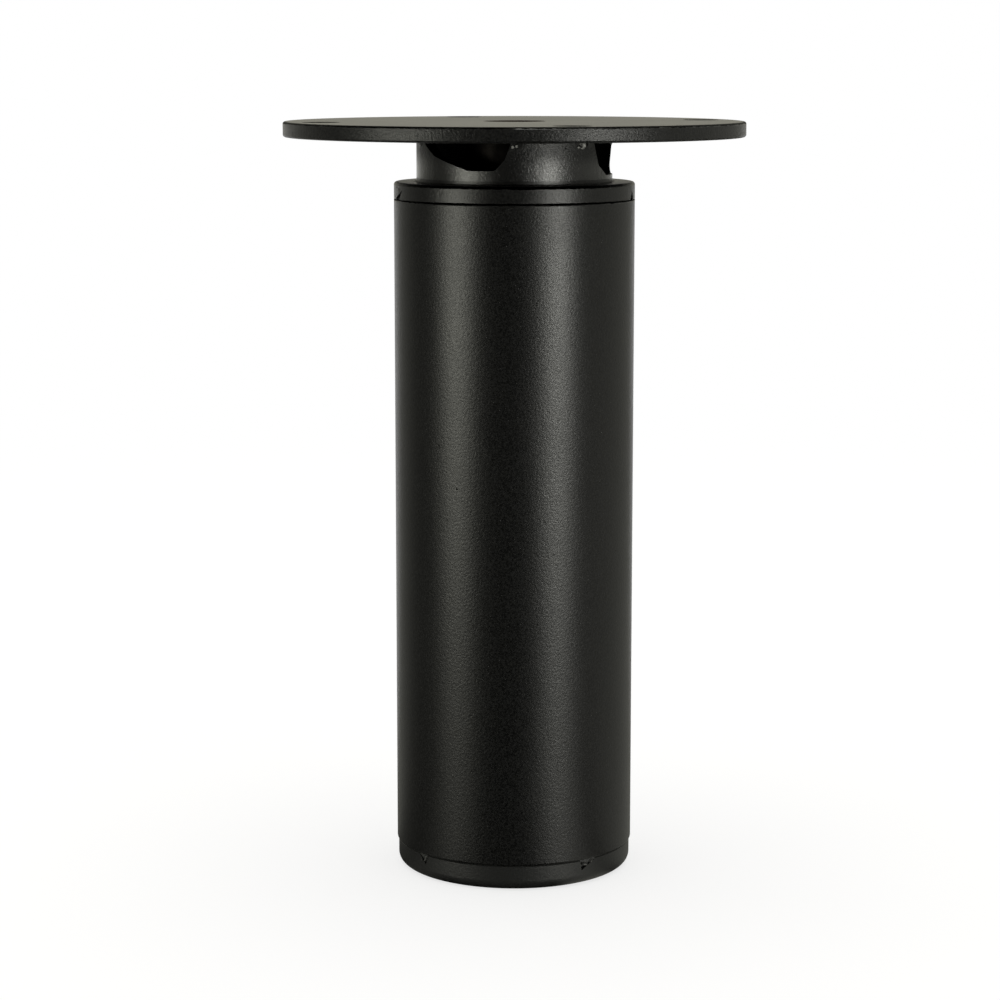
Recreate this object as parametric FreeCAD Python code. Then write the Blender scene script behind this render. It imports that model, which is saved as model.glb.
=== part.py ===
"""Adjustable round cabinet leg, standing on its foot at the height to which it is set.

Millimetres, +Z up, origin at the centre of the face that stands on the floor.
A bearing is an angle about +Z: 0 is the front (-Y) and a positive one turns towards +X.

A round plate is screwed under the cabinet. A short neck tube is welded below it and
slides in a moulded bush, which closes the top of the leg tube. A socket head screw
hangs under the plate, held by a keeper disc in the neck, and turns in a nut that sits
in the bush's floor. A key put through the plate's centre hole turns the screw, and so
raises or lowers the cabinet on the leg. A moulded cap closes the foot of the tube.
"""
import FreeCAD
import Part
import math
import os
from FreeCAD import Vector

# Leg tube
TUBE_OD = 32.0
TUBE_WALL = 1.2
TUBE_LENGTH = 87.1
TUBE_EDGE = 0.25           # rounding of both ends' outer edges

# Foot cap, pressed into the foot of the tube
FOOT_HEIGHT = 3.4          # flange below the tube
FOOT_INSET = 0.2           # flange's side inside the tube's side
FOOT_EDGE = 1.3            # rounding round the floor face
FOOT_FLOOR = 2.0           # floor thickness inside the spigot
SPIGOT_HEIGHT = 10.0       # spigot above the flange
SPIGOT_WALL = 1.6
SPIGOT_WEB = 1.4           # thickness of the crossed webs in the spigot
WEB_SETBACK = 1.5          # webs end this far below the spigot's rim
RECESS_RADIUS = 10.0       # shallow recess in the floor face
RECESS_DEPTH = 0.6

# Top bush, pressed into the top of the tube
RING_HEIGHT = 2.3          # flange that shows above the tube
RING_EDGE = 0.4            # rounding of its upper outer edge
SEAM_EDGE = 0.15           # bevel of both flanges' edges at the tube
BORE_CHAMFER = 0.4         # lead-in at the mouth of the bore
BUSH_WALL = 1.4
FLOOR_GAP = 0.5            # between the lowered neck and the bush's floor
FLOOR_THICK = 2.5
POCKET_WALL = 1.5          # round the nut
POCKET_FLOOR = 1.5         # under the nut
GUSSETS = 6                # below the bush's floor
GUSSET_THICK = 1.4

# Crush ribs that grip the tube's wall, on the bush and on the foot's spigot
RIBS = 8
RIB_WIDTH = 1.4
RIB_STAND = 0.28           # how far a rib stands out of the moulding
RIB_LEAD = 1.0             # tapered lead-in at a rib's inner end
PRESS_GAP = 0.02           # left between a rib and the tube

# Key lugs on the bush, in slots at the top of the tube
KEY_BEARINGS = (-88.0, 92.0)
KEY_WIDTH = 2.4
KEY_DROP = 2.5
KEY_GAP = 0.1

# Prising nicks in the two flanges, at the joint with the tube: bearings of the shallow
# end, the tip and the deep end of each one
RING_NICKS = ((-79.0, -66.5, -71.0), (71.5, 75.0, 77.5), (100.0, 113.5, 109.0), (251.5, 255.0, 257.5))
FOOT_NICKS = ((-53.7, -48.8, -46.4), (44.0, 34.6, 33.6), (126.3, 131.2, 133.6), (224.0, 214.6, 213.6))
NICK_DEPTH = 1.4           # along the leg
NICK_BITE = 0.9            # into the flange's side at the deep end

# Neck tube
NECK_WALL = 1.5
NECK_SHOWING = 5.9         # between the bush and the plate, at this setting
NECK_INSIDE = 16.1         # length inside the bush, at this setting
NECK_CHAMFER = 0.4         # round its lower end
NECK_CLEARANCE = 0.1       # all round, in the bush

# Scalloped notches in the neck's upper edge. Each corner, from the upper left round to
# the upper right, has its bearing, its depth below the plate and its rounding
NOTCHES = (
    (
        (-68.3, 0.0, 0.0), (-53.7, 2.3, 1.2), (-27.5, 4.1, 1.8),
        (-12.0, 4.1, 1.2), (-6.0, 2.7, 0.8), (-1.5, 0.0, 0.0),
    ),
    ((51.5, 0.0, 0.0), (57.0, 3.5, 0.8), (67.0, 4.9, 1.0), (104.0, 4.9, 1.2), (94.0, 0.0, 0.0)),
    ((156.0, 0.0, 0.0), (161.0, 2.4, 1.0), (176.0, 4.3, 1.6), (202.0, 4.3, 1.4), (211.0, 0.0, 0.0)),
)

# Mounting plate
PLATE_OD = 61.2
PLATE_THICK = 2.0
PLATE_EDGE = 0.3
SCREW_HOLES = 4
SCREW_HOLE = 5.0           # diameter of the holes for the cabinet screws
HOLE_INSET = 4.5           # from the plate's rim to the middle of a screw hole
FIRST_HOLE = 15.6          # bearing of the hole nearest the front
KEY_HOLE = 8.3             # diameter of the centre hole for the key

# Weld beads under the plate, at both ends of each land that the notches leave
BEAD_DROP = 1.2            # down the neck
BEAD_REACH = 0.7           # along the plate
BEAD_ARC = 3.6             # degrees round the neck
BEAD_ROOT = 0.3            # how far a bead's root runs into the neck's wall
BEAD_SETBACK = 2.0         # degrees from the notch's corner

# Socket head adjusting screw, with its thread drawn at its outer diameter
SCREW_OD = 8.0
HEAD_OD = 13.0
HEAD_HEIGHT = 8.0
HEAD_EDGE = 0.5
SOCKET_FLATS = 6.0
SOCKET_DEPTH = 4.0
HEAD_PLAY = 0.05           # above and below the captive head
TIP_CHAMFER = 0.9
TIP_SPARE = 4.05           # screw past the nut at the highest setting

# Keeper disc, fixed in the neck below the screw's head
KEEPER_THICK = 1.5
KEEPER_CLEARANCE = 0.2     # round the screw

# Nut in the bush's floor
NUT_FLATS = 13.0
NUT_HEIGHT = 6.5
NUT_CHAMFER = 0.5
NUT_GAP = 0.05             # round the nut in its pocket
THREAD_CLEARANCE = 0.05    # between the screw and the nut

# Travel of the plate from this setting
TRAVEL_UP = 5.5
STOP_GAP = 0.2             # left above the ring when the plate is right down

# Radii that follow
tube_radius = TUBE_OD / 2
tube_bore = tube_radius - TUBE_WALL
rib_radius = tube_bore - PRESS_GAP
moulding_radius = rib_radius - RIB_STAND
bush_bore = moulding_radius - BUSH_WALL
neck_radius = bush_bore - NECK_CLEARANCE
neck_bore = neck_radius - NECK_WALL
hole_circle = PLATE_OD / 2 - HOLE_INSET
foot_radius = tube_radius - FOOT_INSET
screw_radius = SCREW_OD / 2
nut_bore = screw_radius + THREAD_CLEARANCE

# Heights that follow, from the floor up
tube_low = FOOT_HEIGHT
tube_top = tube_low + TUBE_LENGTH
ring_top = tube_top + RING_HEIGHT
plate_low = ring_top + NECK_SHOWING
plate_top = plate_low + PLATE_THICK
neck_low = ring_top - NECK_INSIDE
travel_down = NECK_SHOWING - BEAD_DROP - STOP_GAP
bush_floor = neck_low - travel_down - FLOOR_GAP
nut_low = bush_floor - NUT_HEIGHT
bush_low = nut_low - POCKET_FLOOR
head_top = plate_low - HEAD_PLAY
head_seat = head_top - HEAD_HEIGHT
keeper_top = head_seat - HEAD_PLAY
screw_tip = nut_low - TRAVEL_UP - TIP_SPARE

CUT = 1.0                  # how far a cutting tool runs past what it cuts


def rod(radius, low, high):
    """Upright cylinder on the leg's axis."""
    return Part.makeCylinder(radius, high - low, Vector(0, 0, low))


def pipe(outer, inner, low, high):
    """Upright tube on the leg's axis."""
    return rod(outer, low, high).cut(rod(inner, low - CUT, high + CUT))


def hexagon(flats, low, high):
    """Upright hexagonal bar on the leg's axis, by its size across flats."""
    corner = flats / math.sqrt(3)
    points = [
        Vector(corner * math.cos(math.radians(60 * i)), corner * math.sin(math.radians(60 * i)), low)
        for i in range(7)
    ]
    return Part.Face(Part.makePolygon(points)).extrude(Vector(0, 0, high - low))


def block(width, near, far, low, high):
    """Box at the front, centred on bearing 0, from radius near to radius far."""
    return Part.makeBox(width, far - near, high - low, Vector(-width / 2, -far, low))


def turned(shape, bearing):
    """Copy of a shape that was drawn at the front, turned to a bearing."""
    copy = shape.copy()
    copy.rotate(Vector(0, 0, 0), Vector(0, 0, 1), bearing)
    return copy


def ring_of(shape, count, first=0.0):
    """Copies of a shape that was drawn at the front, evenly spaced round the leg."""
    return [turned(shape, first + 360.0 * i / count) for i in range(count)]


def spun(points, sweep=360.0, start=0.0):
    """Solid turned about the leg's axis from (radius, height) points, from bearing start."""
    corners = [Vector(0, -r, z) for r, z in points]
    face = Part.Face(Part.makePolygon(corners + corners[:1]))
    return turned(face.revolve(Vector(0, 0, 0), Vector(0, 0, 1), sweep), start)


def circles_at(shape, radius, height):
    """The shape's round edges about the leg's axis with that radius and height."""
    return [
        e for e in shape.Edges
        if isinstance(e.Curve, Part.Circle)
        and abs(e.Curve.Radius - radius) < 1e-6
        and abs(e.Curve.Center.z - height) < 1e-6
        and math.hypot(e.Curve.Center.x, e.Curve.Center.y) < 1e-6
    ]


def rounded(shape, size, *places):
    """Fillets the round edges at (radius, height) places."""
    edges = [e for place in places for e in circles_at(shape, *place)]
    return shape.makeFillet(size, edges)


def bevelled(shape, size, *places):
    """Chamfers the round edges at (radius, height) places."""
    edges = [e for place in places for e in circles_at(shape, *place)]
    return shape.makeChamfer(size, edges)


def crush_ribs(root, low, high, tip_up):
    """Ribs on a moulding in the tube, tapered at the end that enters it first."""
    tip, run = (high, high - RIB_LEAD) if tip_up else (low, low + RIB_LEAD)
    seat = low if tip_up else high
    side = [
        Vector(-RIB_WIDTH / 2, -root, seat),
        Vector(-RIB_WIDTH / 2, -rib_radius, seat),
        Vector(-RIB_WIDTH / 2, -rib_radius, run),
        Vector(-RIB_WIDTH / 2, -root, tip),
    ]
    rib = Part.Face(Part.makePolygon(side + side[:1])).extrude(Vector(RIB_WIDTH, 0, 0))
    within = rod(rib_radius, low, high)
    return [r.common(within) for r in ring_of(rib, RIBS, 180.0 / RIBS)]


def nicks(places, flange_radius, joint, into):
    """Cutters for wedge-shaped nicks that run from the joint into a flange; into is 1 up, -1 down."""
    cutters = []
    for shallow, tip, deep in places:
        middle = (shallow + deep) / 2

        def across(bearing):
            return flange_radius * math.sin(math.radians(bearing - middle))

        corners = [(shallow, joint), (tip, joint + into * NICK_DEPTH), (deep, joint)]
        outline = [Vector(across(b), -flange_radius - CUT, z) for b, z in corners]
        prism = Part.Face(Part.makePolygon(outline + outline[:1])).extrude(Vector(0, CUT + NICK_BITE, 0))
        start, end = across(shallow), across(deep)
        plan = [
            Vector(start, -flange_radius - CUT, joint - NICK_DEPTH),
            Vector(start, -flange_radius, joint - NICK_DEPTH),
            Vector(end, NICK_BITE - flange_radius, joint - NICK_DEPTH),
            Vector(3 * end, NICK_BITE - flange_radius, joint - NICK_DEPTH),
            Vector(3 * end, -flange_radius - CUT, joint - NICK_DEPTH),
        ]
        wedge = Part.Face(Part.makePolygon(plan + plan[:1])).extrude(Vector(0, 0, 2 * NICK_DEPTH))
        cutters.append(turned(prism.common(wedge), middle))
    return cutters


def raised(corner, neighbour):
    """The point where the side through two corners of a notch comes out above the neck."""
    rise = CUT / (neighbour[1] - corner[1])
    return corner[0] - rise * (neighbour[0] - corner[0]), corner[1] - CUT, 0.0


def notch(corners):
    """Cutter for one scalloped notch through the neck's wall, straight out from the axis."""
    left, right = corners[0][0], corners[-1][0]
    middle = (left + right) / 2
    path = [raised(*corners[:2]), *corners[1:-1], raised(corners[-1], corners[-2])]

    def outline(distance):
        points = [
            Vector(distance * math.tan(math.radians(b - middle)), -distance, plate_low - d)
            for b, d, _ in path
        ]
        return rounded_outline(points, [r for _, _, r in path], distance / neck_radius)

    inner = outline((neck_bore - CUT) * math.cos(math.radians((right - left) / 2)))
    outer = outline(neck_radius + CUT)
    return turned(Part.makeLoft([inner, outer], True, True), middle)


def rounded_outline(points, radii, scale):
    """Closed outline through the points, with each corner rounded by its radius times scale."""
    edges, count = [], len(points)
    starts, ends, arcs = [], [], []
    for i, corner in enumerate(points):
        before = (points[i - 1] - corner).normalize()
        after = (points[(i + 1) % count] - corner).normalize()
        half = before.getAngle(after) / 2
        radius = radii[i] * scale
        back = radius / math.tan(half)
        bisector = (before + after).normalize()
        crown = corner + bisector * (radius / math.sin(half) - radius)
        starts.append(corner + before * back)
        ends.append(corner + after * back)
        arcs.append(crown)
    for i in range(count):
        if radii[i]:
            edges.append(Part.Arc(starts[i], arcs[i], ends[i]).toShape())
        edges.append(Part.LineSegment(ends[i], starts[(i + 1) % count]).toShape())
    return Part.Wire(edges)


def mounting_plate():
    """Punched steel disc with four screw holes and a centre hole for the key."""
    disc = rod(PLATE_OD / 2, plate_low, plate_top)
    disc = rounded(disc, PLATE_EDGE, (PLATE_OD / 2, plate_low), (PLATE_OD / 2, plate_top))
    hole = Part.makeCylinder(
        SCREW_HOLE / 2, PLATE_THICK + 2 * CUT, Vector(0, -hole_circle, plate_low - CUT)
    )
    holes = ring_of(hole, SCREW_HOLES, FIRST_HOLE)
    return disc.cut([*holes, rod(KEY_HOLE / 2, plate_low - CUT, plate_top + CUT)])


def weld_beads():
    """Small fillet beads at both ends of each land, where it meets the plate."""
    root = neck_radius - BEAD_ROOT
    profile = [
        (root, plate_low), (neck_radius + BEAD_REACH, plate_low),
        (neck_radius + BEAD_REACH / 3, plate_low - BEAD_DROP / 2),
        (neck_radius, plate_low - BEAD_DROP), (root, plate_low - BEAD_DROP),
    ]
    starts = [n[0][0] - BEAD_SETBACK - BEAD_ARC for n in NOTCHES]
    starts += [n[-1][0] + BEAD_SETBACK for n in NOTCHES]
    return [spun(profile, BEAD_ARC, s) for s in starts]


def neck_tube():
    """Steel tube welded under the plate, with three scalloped notches in its upper edge."""
    tube = pipe(neck_radius, neck_bore, neck_low, plate_low)
    tube = bevelled(tube, NECK_CHAMFER, (neck_radius, neck_low))
    return tube.cut([notch(n) for n in NOTCHES]).fuse(weld_beads()).removeSplitter()


def keeper_disc():
    """Steel disc across the neck that holds the screw's head up against the plate."""
    keeper_low = keeper_top - KEEPER_THICK
    return pipe(neck_bore - PRESS_GAP, screw_radius + KEEPER_CLEARANCE, keeper_low, keeper_top)


def adjusting_screw():
    """Socket head screw: head, hexagon socket, and shank at the thread's outer diameter."""
    head = rounded(rod(HEAD_OD / 2, head_seat, head_top), HEAD_EDGE, (HEAD_OD / 2, head_top))
    shank = bevelled(rod(screw_radius, screw_tip, head_seat), TIP_CHAMFER, (screw_radius, screw_tip))
    socket = hexagon(SOCKET_FLATS, head_top - SOCKET_DEPTH, head_top + CUT)
    return head.fuse(shank).cut(socket).removeSplitter()


def bush_nut():
    """Hexagon nut in the bush's floor, chamfered at both faces."""
    blank = hexagon(NUT_FLATS, nut_low, bush_floor)
    corner = NUT_FLATS / math.sqrt(3)
    barrel = bevelled(
        rod(corner, nut_low, bush_floor), NUT_CHAMFER, (corner, nut_low), (corner, bush_floor)
    )
    return blank.common(barrel).cut(rod(nut_bore, nut_low - CUT, bush_floor + CUT))


def top_bush():
    """Moulded bush: ring above the tube, guide bore for the neck, floor with the nut's pocket."""
    pocket_radius = (NUT_FLATS / 2 + NUT_GAP) * 2 / math.sqrt(3) + POCKET_WALL
    ring = rounded(rod(tube_radius, tube_top, ring_top), RING_EDGE, (tube_radius, ring_top))
    ring = bevelled(ring, SEAM_EDGE, (tube_radius, tube_top))
    body = ring.fuse([
        rod(moulding_radius, bush_low, tube_top),
        *crush_ribs(bush_bore + BUSH_WALL / 2, bush_low, tube_top, tip_up=False),
    ])
    under_floor = pipe(bush_bore, pocket_radius, bush_low - CUT, bush_floor - FLOOR_THICK)
    gusset = block(GUSSET_THICK, pocket_radius - POCKET_WALL / 2, bush_bore + BUSH_WALL / 2,
                   bush_low, bush_floor - FLOOR_THICK)
    bore = rod(bush_bore, bush_floor, ring_top + CUT)
    mouth = Part.makeCone(
        bush_bore, bush_bore + BORE_CHAMFER, BORE_CHAMFER, Vector(0, 0, ring_top - BORE_CHAMFER)
    )
    body = body.cut([under_floor, bore, mouth]).fuse(ring_of(gusset, GUSSETS))
    body = body.cut([
        hexagon(NUT_FLATS + 2 * NUT_GAP, nut_low, bush_floor + CUT),
        rod(screw_radius + KEEPER_CLEARANCE, bush_low - CUT, nut_low + CUT),
    ])
    lug = block(KEY_WIDTH, moulding_radius - BUSH_WALL / 2, tube_radius, tube_top - KEY_DROP, tube_top)
    lug = lug.common(rod(tube_radius, tube_top - KEY_DROP, tube_top))
    body = body.fuse([turned(lug, b) for b in KEY_BEARINGS])
    return body.cut(nicks(RING_NICKS, tube_radius, tube_top, 1)).removeSplitter()


def leg_tube():
    """Steel tube, with slots at its top for the bush's key lugs."""
    tube = pipe(tube_radius, tube_bore, tube_low, tube_top)
    tube = rounded(tube, TUBE_EDGE, (tube_radius, tube_low), (tube_radius, tube_top))
    slot = block(KEY_WIDTH + 2 * KEY_GAP, tube_bore - CUT, tube_radius + CUT,
                 tube_top - KEY_DROP - KEY_GAP, tube_top + CUT)
    return tube.cut([turned(slot, b) for b in KEY_BEARINGS])


def foot_cap():
    """Moulded cap: flange that stands on the floor, ribbed spigot in the tube."""
    flange = rounded(rod(foot_radius, 0, tube_low), FOOT_EDGE, (foot_radius, 0))
    flange = bevelled(flange, SEAM_EDGE, (foot_radius, tube_low))
    spigot_top = tube_low + SPIGOT_HEIGHT
    spigot_bore = moulding_radius - SPIGOT_WALL
    body = flange.fuse([
        rod(moulding_radius, tube_low, spigot_top),
        *crush_ribs(moulding_radius - SPIGOT_WALL / 2, tube_low, spigot_top, tip_up=True),
    ])
    body = body.cut(rod(spigot_bore, FOOT_FLOOR, spigot_top + CUT))
    web = Part.makeBox(2 * spigot_bore + SPIGOT_WALL, SPIGOT_WEB, spigot_top - WEB_SETBACK - FOOT_FLOOR,
                       Vector(-spigot_bore - SPIGOT_WALL / 2, -SPIGOT_WEB / 2, FOOT_FLOOR))
    body = body.fuse([web, turned(web, 90.0)])
    recess = rod(RECESS_RADIUS, -CUT, RECESS_DEPTH)
    return body.cut([recess, *nicks(FOOT_NICKS, foot_radius, tube_low, -1)]).removeSplitter()


def main():
    pieces = {
        "mounting_plate": mounting_plate(),
        "neck_tube": neck_tube(),
        "keeper_disc": keeper_disc(),
        "adjusting_screw": adjusting_screw(),
        "bush_nut": bush_nut(),
        "top_bush": top_bush(),
        "leg_tube": leg_tube(),
        "foot_cap": foot_cap(),
    }
    os.makedirs("parts", exist_ok=True)
    for name, shape in pieces.items():
        shape.exportStep(f"parts/{name}.step")
        box = shape.BoundBox
        print(f"{name:16s} solids {len(shape.Solids)} valid {shape.isValid()} volume {shape.Volume:9.1f}"
              f" z {box.ZMin:7.2f} to {box.ZMax:7.2f}")


main()
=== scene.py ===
"""Looks of an adjustable round cabinet leg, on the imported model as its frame. Metres."""
import math

import bmesh
import bpy
from mathutils import Matrix, Vector


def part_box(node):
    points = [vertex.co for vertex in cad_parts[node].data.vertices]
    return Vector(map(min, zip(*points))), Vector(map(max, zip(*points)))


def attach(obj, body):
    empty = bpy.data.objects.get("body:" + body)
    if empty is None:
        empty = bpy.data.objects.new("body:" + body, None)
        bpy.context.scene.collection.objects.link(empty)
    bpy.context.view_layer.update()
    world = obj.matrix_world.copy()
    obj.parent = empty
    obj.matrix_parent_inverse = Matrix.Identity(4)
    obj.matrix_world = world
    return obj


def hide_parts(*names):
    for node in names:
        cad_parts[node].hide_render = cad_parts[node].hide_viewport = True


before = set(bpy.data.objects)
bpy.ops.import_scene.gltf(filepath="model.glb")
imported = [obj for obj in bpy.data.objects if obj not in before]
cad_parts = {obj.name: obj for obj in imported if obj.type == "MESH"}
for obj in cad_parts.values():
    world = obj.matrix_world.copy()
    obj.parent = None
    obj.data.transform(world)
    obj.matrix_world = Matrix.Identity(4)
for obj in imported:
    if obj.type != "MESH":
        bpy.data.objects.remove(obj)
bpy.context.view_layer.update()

bl_info = {
    "name": "Adjustable cabinet leg",
    "version": (1, 0, 0),
    "blender": (4, 5, 0),
    "location": "View3D > Sidebar > Cabinet leg",
    "description": "Finishes, threads and a studio for an adjustable round cabinet leg",
    "category": "Object",
}

MM = 0.001

# Heights and radii that the pieces take from the CAD, in metres
PLATE_LOW, PLATE_TOP = (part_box("mounting_plate")[i].z for i in (0, 1))
RING_RADIUS, RING_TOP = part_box("top_bush")[1].x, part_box("top_bush")[1].z
FOOT_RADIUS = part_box("foot_cap")[1].x
TUBE_LOW, TUBE_TOP = (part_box("leg_tube")[i].z for i in (0, 1))
TUBE_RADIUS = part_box("leg_tube")[1].x
SCREW_TIP, HEAD_TOP = (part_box("adjusting_screw")[i].z for i in (0, 1))
HEAD_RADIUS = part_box("adjusting_screw")[1].x
NUT_LOW, NUT_TOP = (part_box("bush_nut")[i].z for i in (0, 1))
NUT_FLATS = 2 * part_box("bush_nut")[1].y
PLATE_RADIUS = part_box("mounting_plate")[1].x
NECK_WALL = 1.5 * MM
NECK_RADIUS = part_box("keeper_disc")[1].x + NECK_WALL

# How near to each other points are merged, how near to a plane they count as in it, and how near
# to a cut they count as on it
MERGE_DISTANCE = 1e-7
PLANE_DISTANCE = 1e-6
CUT_DISTANCE = 1e-8
# Faces that meet at a larger angle than this have a sharp edge between them
SHARP_ANGLE = math.radians(30)

# How far the floor lies below the foot, and the flags above it
STAGE_GAP = 0.02 * MM

# Depth of the skin in which the coat tells a wall's outside from its inside
SKIN = 0.08 * MM
# Width of the band at an outer edge in which its line of painted shade is looked for
EDGE_BAND = 0.35 * MM
# Near black of the coat's pits, and of the painted shade in hollows, in joints and along upper edges
PIT_AND_SHADE_BLACK = (0.0005, 0.0005, 0.0005, 1)
# Brown of the bare steel in the plate's key hole, and the hole's radius with some room
HOLE_BROWN = (0.03, 0.014, 0.009, 1)
HOLE_RADIUS = 4.4 * MM


class Signal:
    """An output socket of a shader node. Arithmetic on it adds Math nodes."""

    def __init__(self, finish, socket):
        self.finish = finish
        self.socket = socket

    def math(self, operation, *values):
        inputs = dict(enumerate((self, *values)))
        return self.finish.add("ShaderNodeMath", {"operation": operation}, inputs)

    def either(self, other):
        """The larger of two masks at each place."""
        return self.math("MAXIMUM", other)

    def __add__(self, other):
        return self.math("ADD", other)

    def __sub__(self, other):
        return self.math("SUBTRACT", other)

    def __mul__(self, other):
        return self.math("MULTIPLY", other)

    def __truediv__(self, other):
        return self.math("DIVIDE", other)

    def __rsub__(self, other):
        return (self * -1.0) + other

    def __gt__(self, other):
        return self.math("GREATER_THAN", other)

    def __lt__(self, other):
        return self.math("LESS_THAN", other)

    __radd__ = __add__
    __rmul__ = __mul__

    def ramp(self, low, high):
        """0 at low and below, 1 at high and above, and smooth between them."""
        return self.finish.add(
            "ShaderNodeMapRange",
            {"interpolation_type": "SMOOTHSTEP"},
            {"Value": self, "From Min": low, "From Max": high},
        )


class Finish:
    """A node tree under construction, of a material or of the world."""

    def __init__(self, tree):
        self.tree = tree
        tree.nodes.clear()

    def add(self, kind, settings=None, inputs=None, output=0):
        """Adds a node, sets it, feeds its sockets with values or signals, and gives one output."""
        node = self.tree.nodes.new(kind)
        for name, value in (settings or {}).items():
            setattr(node, name, value)
        for name, value in (inputs or {}).items():
            socket = node.inputs[name]
            if isinstance(value, Signal):
                self.tree.links.new(value.socket, socket)
            else:
                socket.default_value = value
        return Signal(self, node.outputs[output]) if node.outputs else node

    def place(self):
        """Object coordinates, in metres."""
        return self.add("ShaderNodeTexCoord", output="Object")

    def split(self, vector):
        """The three numbers of a vector."""
        first = self.add("ShaderNodeSeparateXYZ", inputs={0: vector})
        return [Signal(self, s) for s in first.socket.node.outputs]

    def from_axis(self, x, y):
        """Distance from the leg's axis."""
        return (x * x + y * y).math("SQRT")

    def noise(self, size, detail=2.0, roughness=0.5):
        """Cloudy noise from 0 to 1 with features of a size in metres."""
        inputs = {"Vector": self.place(), "Scale": 1 / size, "Detail": detail, "Roughness": roughness}
        return self.add("ShaderNodeTexNoise", inputs=inputs)

    def cells(self, size):
        """Distance to the nearest of scattered points, as a share of the size that parts them."""
        inputs = {"Vector": self.place(), "Scale": 1 / size}
        return self.add("ShaderNodeTexVoronoi", inputs=inputs, output="Distance")

    def blend(self, mask, first, second):
        """The first colour where the mask is 0 and the second where it is 1."""
        return self.add(
            "ShaderNodeMix", {"data_type": "RGBA"}, {0: mask, 6: first, 7: second}, output=2
        )

    def bump(self, height, depth):
        """A normal for a height from 0 to 1 that stands for a depth in metres."""
        inputs = {"Height": height, "Distance": depth, "Strength": 1.0}
        return self.add("ShaderNodeBump", inputs=inputs)

    def rays(self):
        """1 for rays that come straight from the camera or through glass, and 1 for reflections."""
        path = self.add("ShaderNodeLightPath").socket.node.outputs
        camera, glossy, through = (
            Signal(self, path[n]) for n in ("Is Camera Ray", "Is Glossy Ray", "Is Transmission Ray")
        )
        return camera.either(through), glossy

    def principled(self, **inputs):
        """A Principled shader."""
        named = {name.replace("_", " "): value for name, value in inputs.items()}
        return self.add("ShaderNodeBsdfPrincipled", inputs=named)

    def surface(self, **inputs):
        """Ends a material in one Principled shader."""
        self.end(self.principled(**inputs))

    def end(self, shader):
        """Ends a material in a shader."""
        self.add("ShaderNodeOutputMaterial", inputs={"Surface": shader})


def material(name):
    """A new material and its empty tree."""
    made = bpy.data.materials.new(name)
    made.use_nodes = True
    return made, Finish(made.node_tree)


def paint(obj, finish):
    """Gives an object one material."""
    obj.data.materials.clear()
    obj.data.materials.append(finish)


def solid(name, bm, finish, body, stands_for=None):
    """Makes a closed bmesh a piece that rides on a body, and that may stand for a CAD node."""
    bmesh.ops.remove_doubles(bm, verts=bm.verts, dist=MERGE_DISTANCE)
    bmesh.ops.recalc_face_normals(bm, faces=bm.faces)
    mesh = bpy.data.meshes.new(name)
    bm.to_mesh(mesh)
    bm.free()
    obj = bpy.data.objects.new(name, mesh)
    bpy.context.collection.objects.link(obj)
    mesh.shade_smooth()
    mesh.set_sharp_from_angle(angle=SHARP_ANGLE)
    paint(obj, finish)
    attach(obj, body)
    if stands_for:
        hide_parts(stands_for)
    return obj


def loop_at(bm, z):
    """The edges that lie in a level plane."""
    return [e for e in bm.edges if all(abs(v.co.z - z) < PLANE_DISTANCE for v in e.verts)]


def wires(bm, verts):
    """The edges between some points that have no face yet."""
    return [e for e in bm.edges if e.is_wire and all(v in verts for v in e.verts)]


def hexagon(bm, flats, z):
    """Adds a level hexagon with a size across its flats, and gives its points."""
    points = bmesh.ops.create_circle(bm, segments=6, radius=flats / math.sqrt(3))["verts"]
    bmesh.ops.translate(bm, verts=points, vec=(0, 0, z))
    return points


def lifted(bm, edges, height):
    """Extrudes a loop of edges upwards and gives the new loop."""
    made = bmesh.ops.extrude_edge_only(bm, edges=edges)["geom"]
    verts = [g for g in made if isinstance(g, bmesh.types.BMVert)]
    bmesh.ops.translate(bm, verts=verts, vec=(0, 0, height))
    return [g for g in made if isinstance(g, bmesh.types.BMEdge) and all(v in verts for v in g.verts)]


def resized(bm, edges, factor):
    """Scales a loop of edges about the leg's axis."""
    verts = {v for e in edges for v in e.verts}
    bmesh.ops.scale(bm, verts=list(verts), vec=(factor, factor, 1))


def on_wall(radius, bearing, height):
    """The point of a round wall at a bearing in degrees from the front."""
    angle = math.radians(bearing)
    return Vector((radius * math.sin(angle), -radius * math.cos(angle), height))


def bead(bm, start, end, width, stand):
    """Adds a rounded bead on a round wall, from one point to another."""
    along = (end - start) / 2
    middle = (end + start) / 2
    out = Vector((middle.x, middle.y, 0)).normalized()
    across = along.cross(out).normalized()
    place = Matrix((across * width / 2, along, out * stand)).transposed().to_4x4()
    place.translation = middle
    bmesh.ops.create_icosphere(bm, subdivisions=3, radius=1, matrix=place)


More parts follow.
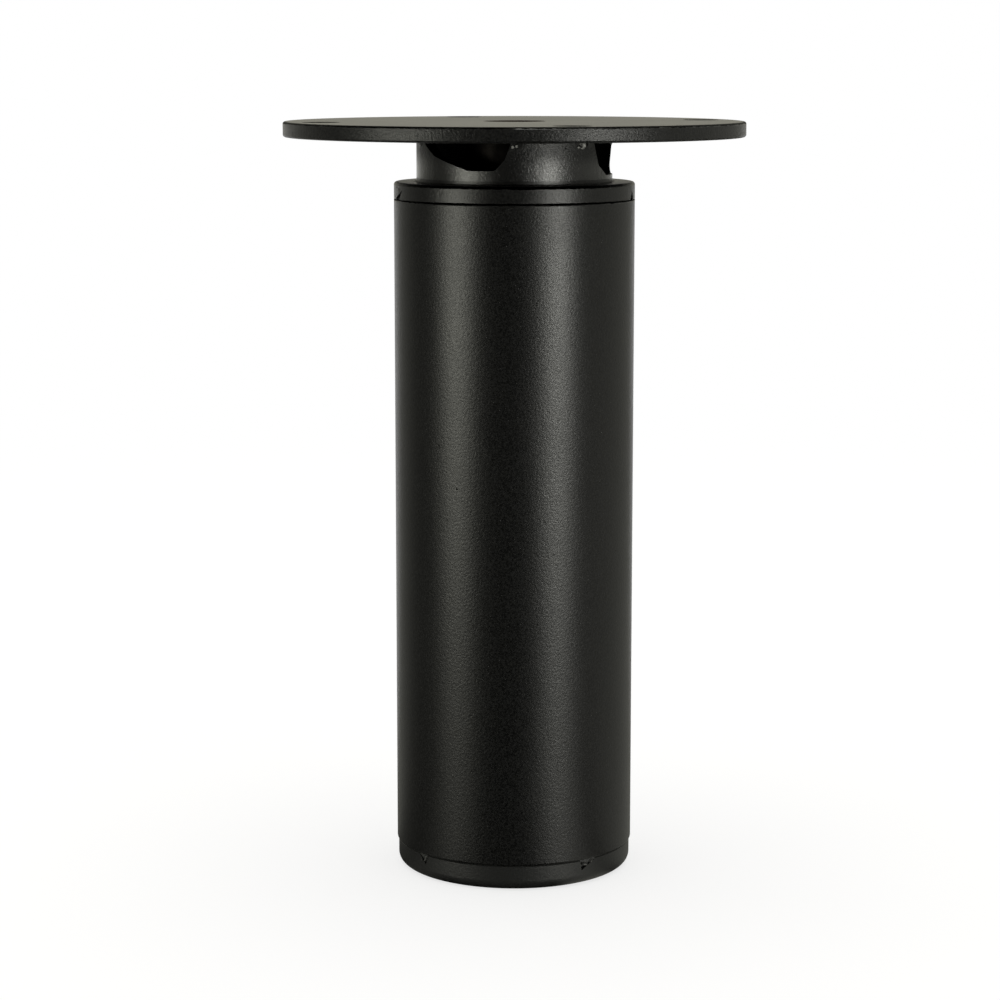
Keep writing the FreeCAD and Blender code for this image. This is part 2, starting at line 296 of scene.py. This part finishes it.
def helix(settings, growth, low, high):
    """The open skin of an M thread between two heights, its radii grown by a clearance."""
    pitch = settings.thread_pitch
    crest = settings.thread_diameter / 2 + growth
    root = crest - settings.thread_depth
    turns = math.ceil((high - low) / pitch) + 2
    start = low - pitch * 1.01  # just over one turn, so that no corner lies in the plane of the end
    outline = [
        (root, 0), (root, pitch * 0.2), (crest, pitch * 0.5),
        (crest, pitch * 0.62), (root, pitch * 0.92), (root, pitch),
    ]
    bm = bmesh.new()
    points = [bm.verts.new((r, 0, start + h)) for r, h in outline]
    edges = [bm.edges.new(pair) for pair in zip(points, points[1:])]
    steps = settings.thread_steps
    bmesh.ops.spin(
        bm, geom=points + edges, cent=(0, 0, 0), axis=(0, 0, 1), dvec=(0, 0, pitch / steps),
        angle=math.tau * turns, steps=steps * turns, use_merge=False, use_duplicate=False,
    )
    bmesh.ops.remove_doubles(bm, verts=bm.verts, dist=MERGE_DISTANCE)
    for z, side in ((low, -1), (high, 1)):
        bmesh.ops.bisect_plane(
            bm, geom=bm.verts[:] + bm.edges[:] + bm.faces[:], dist=CUT_DISTANCE,
            plane_co=(0, 0, z), plane_no=(0, 0, side), clear_outer=True,
        )
    return bm


def speckled(f, settings):
    """Black with paler grains, the colour of the coat and of the mouldings."""
    speckle = f.noise(settings.grain_size * 0.8, 2.0, 0.8).ramp(0.35, 0.68)
    return f.blend(speckle, (*settings.coat_colour, 1), (*settings.coat_light, 1))


def raggedness(f):
    """A height of up to 0.2 mm either way, which makes the border of a line of painted shade uneven."""
    return (f.noise(1.2 * MM, 3.0, 0.7) - 0.5) * (0.4 * MM)


def coated_steel(settings):
    """Satin black powder coat with fine grain and a few pits. Painted shade inside the neck and along
    the upper edges of the plate and the tube. The neck is duller by its weld and glossier where it slides."""
    made, f = material("powder_coat")
    x, y, z = f.split(f.place())
    radius = f.from_axis(x, y)
    ragged = raggedness(f)
    cloud = f.noise(9 * MM, 3.0)
    grain = f.noise(settings.grain_size, 3.0, 0.6)

    # Places on the pieces
    neck = (z > RING_TOP + 0.5 * MM) * (z < PLATE_LOW)
    rim = (radius > PLATE_RADIUS - EDGE_BAND) * (z > PLATE_LOW)
    # Painted shade: the plate's upper edge, the tube's upper end and the inside of the neck are made black
    # and without gloss
    rim_shade_line = rim * (z > ragged + (PLATE_TOP - 0.22 * MM))
    seam_shade = (radius > TUBE_RADIUS - EDGE_BAND) * (z < TUBE_TOP + 0.1 * MM)
    seam_shade = seam_shade * (z > ragged + (TUBE_TOP - 0.12 * MM))
    inside = (radius < NECK_RADIUS - SKIN) * (z < PLATE_LOW)
    dark = inside.either(rim_shade_line).either(seam_shade)
    hole = (radius < HOLE_RADIUS) * (z > PLATE_TOP - 0.5 * MM)

    # Relief, with more pits, spatter and lumps on the neck
    pits = f.cells(3.2 * MM).ramp(0.055, 0.035) * (f.noise(7 * MM) > 0.5)
    pits = pits.either(f.cells(1.9 * MM).ramp(0.13, 0.09) * (f.noise(3 * MM) > 0.52) * neck)
    spatter = f.cells(1.3 * MM).ramp(0.22, 0.08) * (f.noise(2.2 * MM) > 0.6) * neck
    lumps = f.noise(0.9 * MM, 2.0, 0.7) * neck * 2.0
    height = grain * (neck * 0.8 + rim * 0.8 + 0.8) + cloud * 0.2 - pits * 1.5 + spatter * 3.0 + lumps

    # Colour and gloss
    # Near black for the pits and for the painted shade
    base = f.blend(pits.either(dark), speckled(f, settings), PIT_AND_SHADE_BLACK)
    base = f.blend(hole, base, HOLE_BROWN)
    dullness = neck * (0.07 - z.ramp(PLATE_LOW - 1.2 * MM, PLATE_LOW - 4.0 * MM) * 0.12)
    rough = settings.coat_roughness + (cloud - 0.5) * 0.06 + (grain - 0.5) * 0.12 + dark * 0.3 + dullness
    sliding = (radius > NECK_RADIUS - SKIN) * neck * z.ramp(PLATE_LOW - 1.8 * MM, PLATE_LOW - 4.2 * MM)
    f.surface(
        Base_Color=base, Metallic=dark, Roughness=rough, Specular_IOR_Level=0.5,
        Coat_Weight=sliding * 0.7, Coat_Roughness=0.36, Normal=f.bump(height, settings.grain_depth),
    )
    return made


def moulded_nylon(settings):
    """Black moulding with fine grain. Painted shade along the ring's upper edge and at its joint with
    the tube, and painted light from the floor that makes the foot paler."""
    made, f = material("black_nylon")
    x, y, z = f.split(f.place())
    ragged = raggedness(f)
    cloud = f.noise(7 * MM, 3.0)
    grain = f.noise(settings.grain_size * 1.1, 3.0, 0.6)

    outside = f.from_axis(x, y) > TUBE_RADIUS - 0.6 * MM
    # Painted shade: a black line without gloss along the ring's upper edge and at its joint with the tube
    ring_shade_line = outside * (z > ragged + (RING_TOP - 0.38 * MM))
    joint = outside * (z > TUBE_TOP - 0.1 * MM) * (z < ragged + (TUBE_TOP + 0.1 * MM))
    dark = ring_shade_line.either(joint)
    foot = z < TUBE_LOW

    # Painted light: the foot's nylon is paler, standing in for light thrown up from the floor
    base = f.blend(foot, speckled(f, settings), (0.0085, 0.0088, 0.0082, 1))
    base = f.blend(dark, base, PIT_AND_SHADE_BLACK)
    rough = settings.nylon_roughness + (cloud - 0.5) * 0.08 + (grain - 0.5) * 0.10 + foot * 0.06
    f.surface(
        Base_Color=base, Metallic=dark, Roughness=rough, Specular_IOR_Level=0.5,
        Normal=f.bump(grain, settings.grain_depth),
    )
    return made


def bare_steel(name, dark, light, roughness):
    """Plated or blackened steel with a slightly cloudy tone."""
    made, f = material(name)
    cloud = f.noise(3 * MM, 4.0, 0.6)
    f.surface(
        Base_Color=f.blend(cloud.ramp(0.35, 0.65), (*dark, 1), (*light, 1)),
        Metallic=1.0, Roughness=roughness + (cloud - 0.5) * 0.15,
        Normal=f.bump(f.noise(0.3 * MM), 0.004 * MM),
    )
    return made


def pale_wear_and_glint(name, dark, light):
    """A black finish with pale, rough patches: real wear on the torn nylon, and a painted highlight on the
    weld drops.
    """
    made, f = material(name)
    patches = f.noise(0.5 * MM, 3.0, 0.6).ramp(0.35, 0.6)
    f.surface(
        Base_Color=f.blend(patches, (*dark, 1), (*light, 1)), Roughness=patches * 0.12 + 0.3,
        Specular_IOR_Level=0.5, Normal=f.bump(f.noise(0.25 * MM), 0.03 * MM),
    )
    return made


class LegFinish(bpy.types.PropertyGroup):
    """Colours and grain of the leg's finishes."""

    coat_colour: bpy.props.FloatVectorProperty(
        name="Coat colour", description="Powder coat and nylon", subtype="COLOR", size=3,
        default=(0.0004, 0.0004, 0.0004), min=0, max=1,
    )
    coat_light: bpy.props.FloatVectorProperty(
        name="Coat's paler grain", description="Colour of the coat's paler grains", subtype="COLOR", size=3,
        default=(0.0065, 0.0066, 0.0060), min=0, max=1,
    )
    coat_roughness: bpy.props.FloatProperty(
        name="Coat roughness", description="How widely the coat spreads a highlight",
        default=0.35, min=0, max=1,
    )
    nylon_roughness: bpy.props.FloatProperty(
        name="Nylon roughness", description="How widely the mouldings spread a highlight",
        default=0.36, min=0, max=1,
    )
    grain_size: bpy.props.FloatProperty(
        name="Grain size", description="Size of the grain in the coat and the mouldings",
        default=0.30 * MM, subtype="DISTANCE", unit="LENGTH", precision=5,
    )
    grain_depth: bpy.props.FloatProperty(
        name="Grain depth", description="Depth of the grain in the coat and the mouldings",
        default=0.034 * MM, subtype="DISTANCE", unit="LENGTH", precision=6,
    )


class LegThread(bpy.types.PropertyGroup):
    """Sizes of the screw's thread and head."""

    thread_diameter: bpy.props.FloatProperty(
        name="Thread diameter", description="Outer diameter of the thread",
        default=8 * MM, subtype="DISTANCE", unit="LENGTH", precision=5,
    )
    thread_pitch: bpy.props.FloatProperty(
        name="Pitch", description="Rise of the thread in one turn",
        default=1.25 * MM, subtype="DISTANCE", unit="LENGTH", precision=5,
    )
    thread_depth: bpy.props.FloatProperty(
        name="Thread depth", description="From the thread's crest to its root",
        default=0.70 * MM, subtype="DISTANCE", unit="LENGTH", precision=5,
    )
    thread_play: bpy.props.FloatProperty(
        name="Thread play", description="Clearance between the screw and the nut",
        default=0.05 * MM, subtype="DISTANCE", unit="LENGTH", precision=5,
    )
    thread_steps: bpy.props.IntProperty(
        name="Steps", description="Facets in one turn of the thread", default=32, min=8, max=96,
    )
    socket_flats: bpy.props.FloatProperty(
        name="Socket", description="Across the flats of the hexagon socket",
        default=6 * MM, subtype="DISTANCE", unit="LENGTH", precision=5,
    )
    socket_depth: bpy.props.FloatProperty(
        name="Socket depth", description="Depth of the hexagon socket",
        default=4 * MM, subtype="DISTANCE", unit="LENGTH", precision=5,
    )
    head_height: bpy.props.FloatProperty(
        name="Head height", description="Height of the screw's head",
        default=8 * MM, subtype="DISTANCE", unit="LENGTH", precision=5,
    )


class LegStudio(bpy.types.PropertyGroup):
    """Camera and light."""

    camera_distance: bpy.props.FloatProperty(
        name="Camera distance", description="Level distance from the leg's axis", default=0.37255,
        subtype="DISTANCE", unit="LENGTH",
    )
    camera_height: bpy.props.FloatProperty(
        name="Camera height", description="Height above the floor", default=0.10966, subtype="DISTANCE",
        unit="LENGTH",
    )
    camera_side: bpy.props.FloatProperty(
        name="Camera offset", description="How far the camera stands to the right", default=-0.00191,
        subtype="DISTANCE", unit="LENGTH",
    )
    camera_tilt: bpy.props.FloatProperty(
        name="Camera tilt", description="How far it looks down",
        default=math.radians(9.111), subtype="ANGLE",
    )
    lens: bpy.props.FloatProperty(
        name="Lens", description="Focal length on a 36 mm sensor, in millimetres", default=100.457, min=10,
    )
    key_power: bpy.props.FloatProperty(
        name="Right light", description="Power of the right soft box", default=2.85, subtype="POWER",
    )
    fill_power: bpy.props.FloatProperty(
        name="Left light", description="Power of the left soft box", default=2.15, subtype="POWER",
    )
    top_power: bpy.props.FloatProperty(
        name="Top light", description="Power of the soft box overhead", default=8.0, subtype="POWER",
    )


class CABINETLEG_OT_coated_steel(bpy.types.Operator):
    """Powder coats the tube, the neck, the plate and the keeper disc"""

    bl_idname = "cabinetleg.coated_steel"
    bl_label = "Coated steel"

    def execute(self, context):
        coat = coated_steel(context.scene.leg_finish)
        for node in ("leg_tube", "neck_tube", "mounting_plate", "keeper_disc"):
            paint(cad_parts[node], coat)
        return {"FINISHED"}


class CABINETLEG_OT_weld_spatter(bpy.types.Operator):
    """Adds the round drops of weld that stand out on the neck close under the plate"""

    bl_idname = "cabinetleg.weld_spatter"
    bl_label = "Weld spatter"

    def execute(self, context):
        # Bearing and fall below the plate of each drop's two ends, its width and how far it stands out,
        # in degrees and millimetres
        drops = (
            (40.8, 0.35, 43.0, 1.36, 0.95, 0.56), (38.8, 0.95, 39.3, 1.34, 0.34, 0.22),
            (-1.4, 0.80, -1.2, 1.20, 0.36, 0.24), (1.2, 0.65, 0.9, 1.10, 0.38, 0.26),
            (-71.5, 0.60, -71.0, 1.10, 0.50, 0.26), (131.0, 0.45, 131.6, 1.15, 0.60, 0.34),
            (152.0, 0.50, 151.6, 1.10, 0.52, 0.30), (240.0, 0.40, 239.4, 1.15, 0.62, 0.36),
        )
        bm = bmesh.new()
        for first, fall, last, end_fall, width, stand in drops:
            start = on_wall(NECK_RADIUS, first, PLATE_LOW - fall * MM)
            end = on_wall(NECK_RADIUS, last, PLATE_LOW - end_fall * MM)
            bead(bm, start, end, width * MM, stand * MM)
        # The drops' pale patches are a painted highlight, the glint of a smooth bead
        coat = pale_wear_and_glint("weld_drop_painted_glint", (0.012, 0.012, 0.011), (0.21, 0.21, 0.195))
        piece = solid("weld_spatter", bm, coat, "plate")
        return {"FINISHED"}


class CABINETLEG_OT_mouldings(bpy.types.Operator):
    """Gives the bush and the foot cap their black nylon"""

    bl_idname = "cabinetleg.mouldings"
    bl_label = "Mouldings"

    def execute(self, context):
        nylon = moulded_nylon(context.scene.leg_finish)
        for node in ("top_bush", "foot_cap"):
            paint(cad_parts[node], nylon)
        return {"FINISHED"}


class CABINETLEG_OT_torn_edges(bpy.types.Operator):
    """Adds the shreds of nylon that prising has raised in the nicks of the ring and the foot cap"""

    bl_idname = "cabinetleg.torn_edges"
    bl_label = "Torn edges"

    def execute(self, context):
        # Bearing and distance from the tube's end of each shred's two ends, and its width, in degrees
        # and millimetres
        foot = (
            (-48.2, 0.10, -50.2, 1.10, 0.34), (-52.4, 0.35, -52.2, 1.25, 0.26),
            (35.4, 0.62, 39.0, 0.84, 0.36), (40.0, 0.78, 41.8, 0.15, 0.34),
            (130.6, 0.20, 128.9, 1.05, 0.32), (216.0, 0.70, 219.2, 0.50, 0.34),
        )
        ring = (
            (-72.6, 1.95, -70.6, 0.75, 0.34), (-75.6, 1.85, -75.2, 1.50, 0.26),
            (105.5, 0.90, 109.6, 0.45, 0.30),
        )
        bm = bmesh.new()
        self.add_shreds(bm, foot, FOOT_RADIUS, TUBE_LOW, -1)
        self.add_shreds(bm, ring, RING_RADIUS, TUBE_TOP, 1)
        nylon = pale_wear_and_glint("torn_nylon", (0.012, 0.012, 0.011), (0.05, 0.05, 0.046))
        piece = solid("torn_edges", bm, nylon, "leg")
        return {"FINISHED"}

    def add_shreds(self, bm, shreds, radius, joint, side):
        """Adds the shreds of one moulding, above or below its joint with the tube."""
        sunk = 0.30 * MM
        stand = 0.36 * MM
        for first, rise, last, end_rise, width in shreds:
            start = on_wall(radius - sunk, first, joint + side * rise * MM)
            end = on_wall(radius - sunk, last, joint + side * end_rise * MM)
            bead(bm, start, end, width * MM, stand)


class CABINETLEG_OT_adjusting_screw(bpy.types.Operator):
    """Makes the socket head screw with its thread and knurled head"""

    bl_idname = "cabinetleg.adjusting_screw"
    bl_label = "Adjusting screw"

    def execute(self, context):
        sizes = context.scene.leg_thread
        seat = HEAD_TOP - sizes.head_height
        shank_top = seat + 0.5 * MM  # inside the head, which covers the shank's end
        bm = helix(sizes, 0.0, SCREW_TIP, shank_top)
        for z in (SCREW_TIP, shank_top):
            bmesh.ops.triangle_fill(bm, use_beauty=True, use_dissolve=False, edges=loop_at(bm, z))
        self.chamfer_tip(bm, sizes.thread_diameter / 2 - 0.9 * MM)
        self.add_head(bm, sizes, seat)
        steel = bare_steel("blackened_steel", (0.0028, 0.0026, 0.0024), (0.008, 0.0072, 0.0066), 0.5)
        piece = solid("adjusting_screw_threaded", bm, steel, "screw", "adjusting_screw")
        return {"FINISHED"}

    def chamfer_tip(self, bm, tip_radius):
        """Draws the thread in to a cone of 45 degrees at the tip."""
        for v in bm.verts:
            radius = math.hypot(v.co.x, v.co.y)
            taper = tip_radius + (v.co.z - SCREW_TIP)
            if radius > taper:
                v.co.x *= taper / radius
                v.co.y *= taper / radius

    def add_head(self, bm, sizes, seat):
        """Adds the head: knurled side, rounded upper edge and hexagon socket."""
        facets = 72
        knurl = 0.982  # share of the radius at every second facet's corner
        edge = 0.5 * MM
        ring = bmesh.ops.create_circle(bm, segments=facets, radius=HEAD_RADIUS - edge / 2)["verts"]
        bmesh.ops.translate(bm, verts=ring, vec=(0, 0, seat))
        low = wires(bm, ring)
        bmesh.ops.contextual_create(bm, geom=low)
        side = lifted(bm, low, edge / 2)
        resized(bm, side, HEAD_RADIUS / (HEAD_RADIUS - edge / 2))
        top = lifted(bm, side, sizes.head_height - 1.5 * edge)
        for loop in (side, top):
            for v in {v for e in loop for v in e.verts}:
                step = round(math.atan2(v.co.y, v.co.x) / math.tau * facets)
                if step % 2:
                    bmesh.ops.scale(bm, verts=[v], vec=(knurl, knurl, 1))
        shoulder = lifted(bm, top, edge * 0.3)
        resized(bm, shoulder, 1 - edge * 0.2 / HEAD_RADIUS)
        rim = lifted(bm, shoulder, edge * 0.7)
        resized(bm, rim, 1 - edge * 0.8 / HEAD_RADIUS)
        sides = wires(bm, hexagon(bm, sizes.socket_flats, HEAD_TOP))
        bmesh.ops.subdivide_edges(bm, edges=sides, cuts=facets // 6 - 1)
        mouth = [e for e in bm.edges if e.is_wire]
        bmesh.ops.bridge_loops(bm, edges=rim + mouth)
        floor = lifted(bm, mouth, -sizes.socket_depth)
        bmesh.ops.contextual_create(bm, geom=floor)


class CABINETLEG_OT_bush_nut(bpy.types.Operator):
    """Makes the hexagon nut with its thread"""

    bl_idname = "cabinetleg.bush_nut"
    bl_label = "Nut"

    def execute(self, context):
        sizes = context.scene.leg_thread
        bm = helix(sizes, sizes.thread_play, NUT_LOW, NUT_TOP)
        lifted(bm, wires(bm, hexagon(bm, NUT_FLATS, NUT_LOW)), NUT_TOP - NUT_LOW)
        for z in (NUT_LOW, NUT_TOP):
            bmesh.ops.triangle_fill(bm, use_beauty=True, use_dissolve=False, edges=loop_at(bm, z))
        steel = bare_steel("zinc_steel", (0.5, 0.5, 0.5), (0.66, 0.67, 0.68), 0.34)
        piece = solid("bush_nut_threaded", bm, steel, "leg", "bush_nut")
        return {"FINISHED"}


class CABINETLEG_OT_studio(bpy.types.Operator):
    """Sets up the floor, the dark flags, the world, the lights and the camera"""

    bl_idname = "cabinetleg.studio"
    bl_label = "Studio"

    def execute(self, context):
        settings = context.scene.leg_studio
        self.add_floor()
        self.add_flags()
        self.set_world(context.scene)
        # Bearing, distance, width and height, height above the floor, power and share of blue
        self.add_light("right_box", 41.0, 1.0, (0.32, 0.088), 0.044, settings.key_power, 0.93)
        self.add_light("left_box", -56.5, 1.0, (0.40, 0.088), 0.044, settings.fill_power, 0.88)
        self.add_light("top_box", 180.0, 0.1, (1.0, 1.0), 1.3, settings.top_power, 0.94)
        self.add_camera(context.scene, settings)
        context.scene.view_settings.view_transform = "Standard"
        return {"FINISHED"}

    def add_plain(self, name, bm, finish):
        """Links a stage mesh."""
        mesh = bpy.data.meshes.new(name)
        bm.to_mesh(mesh)
        bm.free()
        obj = bpy.data.objects.new(name, mesh)
        bpy.context.collection.objects.link(obj)
        paint(obj, finish)
        return obj

    def add_floor(self):
        """A large white floor that keeps the leg's soft shadow."""
        made, f = material("floor")
        lit = f.principled(Base_Color=(0.92, 0.92, 0.92, 1), Roughness=0.9, Specular_IOR_Level=0.1)
        white = f.add("ShaderNodeEmission", inputs={"Color": (1, 1, 1, 1), "Strength": 1.0})
        x, y, _ = f.split(f.place())
        far = f.from_axis(x, y).ramp(0.1, 0.5)
        seen, glossy = f.rays()
        share = seen.either(glossy) * (far * 0.28 + 0.72)
        f.end(f.add("ShaderNodeMixShader", inputs={0: share, 1: lit, 2: white}))
        bm = bmesh.new()
        bmesh.ops.create_grid(bm, x_segments=1, y_segments=1, size=3.0)
        bmesh.ops.translate(bm, verts=bm.verts, vec=(0, 0, -STAGE_GAP))
        self.add_plain("floor", bm, made)

    def flag_tone(self):
        """The flags' material: nearly black in front, paler towards the back, a little paler high up,
        and paler on the floor in front of the two soft boxes."""
        made, f = material("flag")
        x, y, z = f.split(f.place())
        reach = f.from_axis(x, y)
        forward = (y * -1.0) / reach
        left = forward.ramp(0.6, -0.3) * 0.09 + forward.ramp(-0.2, -0.8) * 0.24
        right = forward.ramp(0.65, 0.1) * 0.33
        level = left * (x < 0.0) + right * (x > 0.0) + z.ramp(0.22, 0.6) * 0.1
        for bearing, glow in ((41.0, 0.4), (-57.0, 0.1)):
            angle = math.radians(bearing)
            towards = (x * math.sin(angle) - y * math.cos(angle)) / reach
            level = level + towards.ramp(0.93, 1.0) * (z < MM) * glow
        tone = f.blend(level, (0, 0, 0, 1), (1, 1, 0.89, 1))
        f.end(f.add("ShaderNodeEmission", inputs={"Color": tone}))
        return made

    def add_flags(self):
        """Dark cards on the floor, round and over the camera, which only reflections see."""
        reach = 1.5
        inner_radius = 14.5 * MM
        left_end = math.radians(-150)
        right_end = math.radians(154)
        bm = bmesh.new()
        inner = bm.verts.new((0, -inner_radius, STAGE_GAP))
        outer = bm.verts.new((0, -reach, STAGE_GAP))
        top = bm.verts.new((0, -reach, reach))
        middle = bm.verts.new((0, -inner_radius, reach))
        edges = [bm.edges.new(pair) for pair in ((inner, outer), (outer, top), (top, middle))]
        bmesh.ops.rotate(bm, verts=bm.verts, cent=(0, 0, 0), matrix=Matrix.Rotation(left_end, 3, "Z"))
        bmesh.ops.spin(
            bm, geom=bm.verts[:] + edges, cent=(0, 0, 0), axis=(0, 0, 1), angle=right_end - left_end,
            steps=40, use_merge=False, use_duplicate=False,
        )
        flag = self.add_plain("flags", bm, self.flag_tone())
        flag.visible_camera = False
        flag.visible_diffuse = False
        flag.visible_shadow = False
        flag.visible_transmission = False

    def set_world(self, scene):
        """White where the camera sees it, pale and warm in reflections, and plain soft light elsewhere."""
        world = bpy.data.worlds.new("studio")
        world.use_nodes = True
        scene.world = world
        f = Finish(world.node_tree)
        seen, glossy = f.rays()
        tint = f.blend(glossy, f.blend(seen, (0.78, 0.77, 0.75, 1), (1, 1, 1, 1)), (0.65, 0.63, 0.53, 1))
        back = f.add("ShaderNodeBackground", inputs={"Color": tint, "Strength": 1.0})
        f.add("ShaderNodeOutputWorld", inputs={"Surface": back})

    def add_light(self, name, bearing, distance, size, height, power, blue):
        """A soft box at a bearing from the camera's side, facing the leg, with a share of blue."""
        data = bpy.data.lights.new(name, "AREA")
        data.shape = "RECTANGLE"
        data.size, data.size_y = size
        data.energy = power
        data.color = (1.0, 1.0, blue)
        obj = bpy.data.objects.new(name, data)
        angle = math.radians(bearing)
        obj.location = (distance * math.sin(angle), -distance * math.cos(angle), height)
        middle_of_leg = Vector((0, 0, 0.06))
        facing = middle_of_leg - obj.location
        obj.rotation_euler = facing.to_track_quat("-Z", "Y").to_euler()
        bpy.context.collection.objects.link(obj)

    def add_camera(self, scene, settings):
        """The photograph's camera."""
        data = bpy.data.cameras.new("camera")
        data.sensor_width = 36
        data.lens = settings.lens
        data.clip_start = 0.01
        data.clip_end = 20
        obj = bpy.data.objects.new("camera", data)
        obj.location = (settings.camera_side, -settings.camera_distance, settings.camera_height)
        obj.rotation_euler = (math.pi / 2 - settings.camera_tilt, 0, 0)
        bpy.context.collection.objects.link(obj)
        scene.camera = obj


OPERATORS = (
    CABINETLEG_OT_coated_steel,
    CABINETLEG_OT_weld_spatter,
    CABINETLEG_OT_mouldings,
    CABINETLEG_OT_torn_edges,
    CABINETLEG_OT_adjusting_screw,
    CABINETLEG_OT_bush_nut,
    CABINETLEG_OT_studio,
)
GROUPS = {"leg_finish": LegFinish, "leg_thread": LegThread, "leg_studio": LegStudio}


class CABINETLEG_PT_panel(bpy.types.Panel):
    """Lists the leg's settings and steps"""

    bl_idname = "CABINETLEG_PT_panel"
    bl_label = "Cabinet leg"
    bl_space_type = "VIEW_3D"
    bl_region_type = "UI"
    bl_category = "Cabinet leg"

    def draw(self, context):
        for group, kind in GROUPS.items():
            box = self.layout.box()
            for name in kind.__annotations__:
                box.prop(getattr(context.scene, group), name)
        for operator in OPERATORS:
            self.layout.operator(operator.bl_idname)


def register():
    """Makes the settings, the operators and the panel known to Blender."""
    for kind in (*GROUPS.values(), *OPERATORS, CABINETLEG_PT_panel):
        bpy.utils.register_class(kind)
    for name, kind in GROUPS.items():
        setattr(bpy.types.Scene, name, bpy.props.PointerProperty(type=kind))


def unregister():
    """Takes them away again."""
    for name in GROUPS:
        delattr(bpy.types.Scene, name)
    for kind in reversed((*GROUPS.values(), *OPERATORS, CABINETLEG_PT_panel)):
        bpy.utils.unregister_class(kind)


def main():
    """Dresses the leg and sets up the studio."""
    register()
    bpy.ops.cabinetleg.coated_steel()
    bpy.ops.cabinetleg.weld_spatter()
    bpy.ops.cabinetleg.mouldings()
    bpy.ops.cabinetleg.torn_edges()
    bpy.ops.cabinetleg.adjusting_screw()
    bpy.ops.cabinetleg.bush_nut()
    bpy.ops.cabinetleg.studio()


if __name__ == "__main__":
    main()
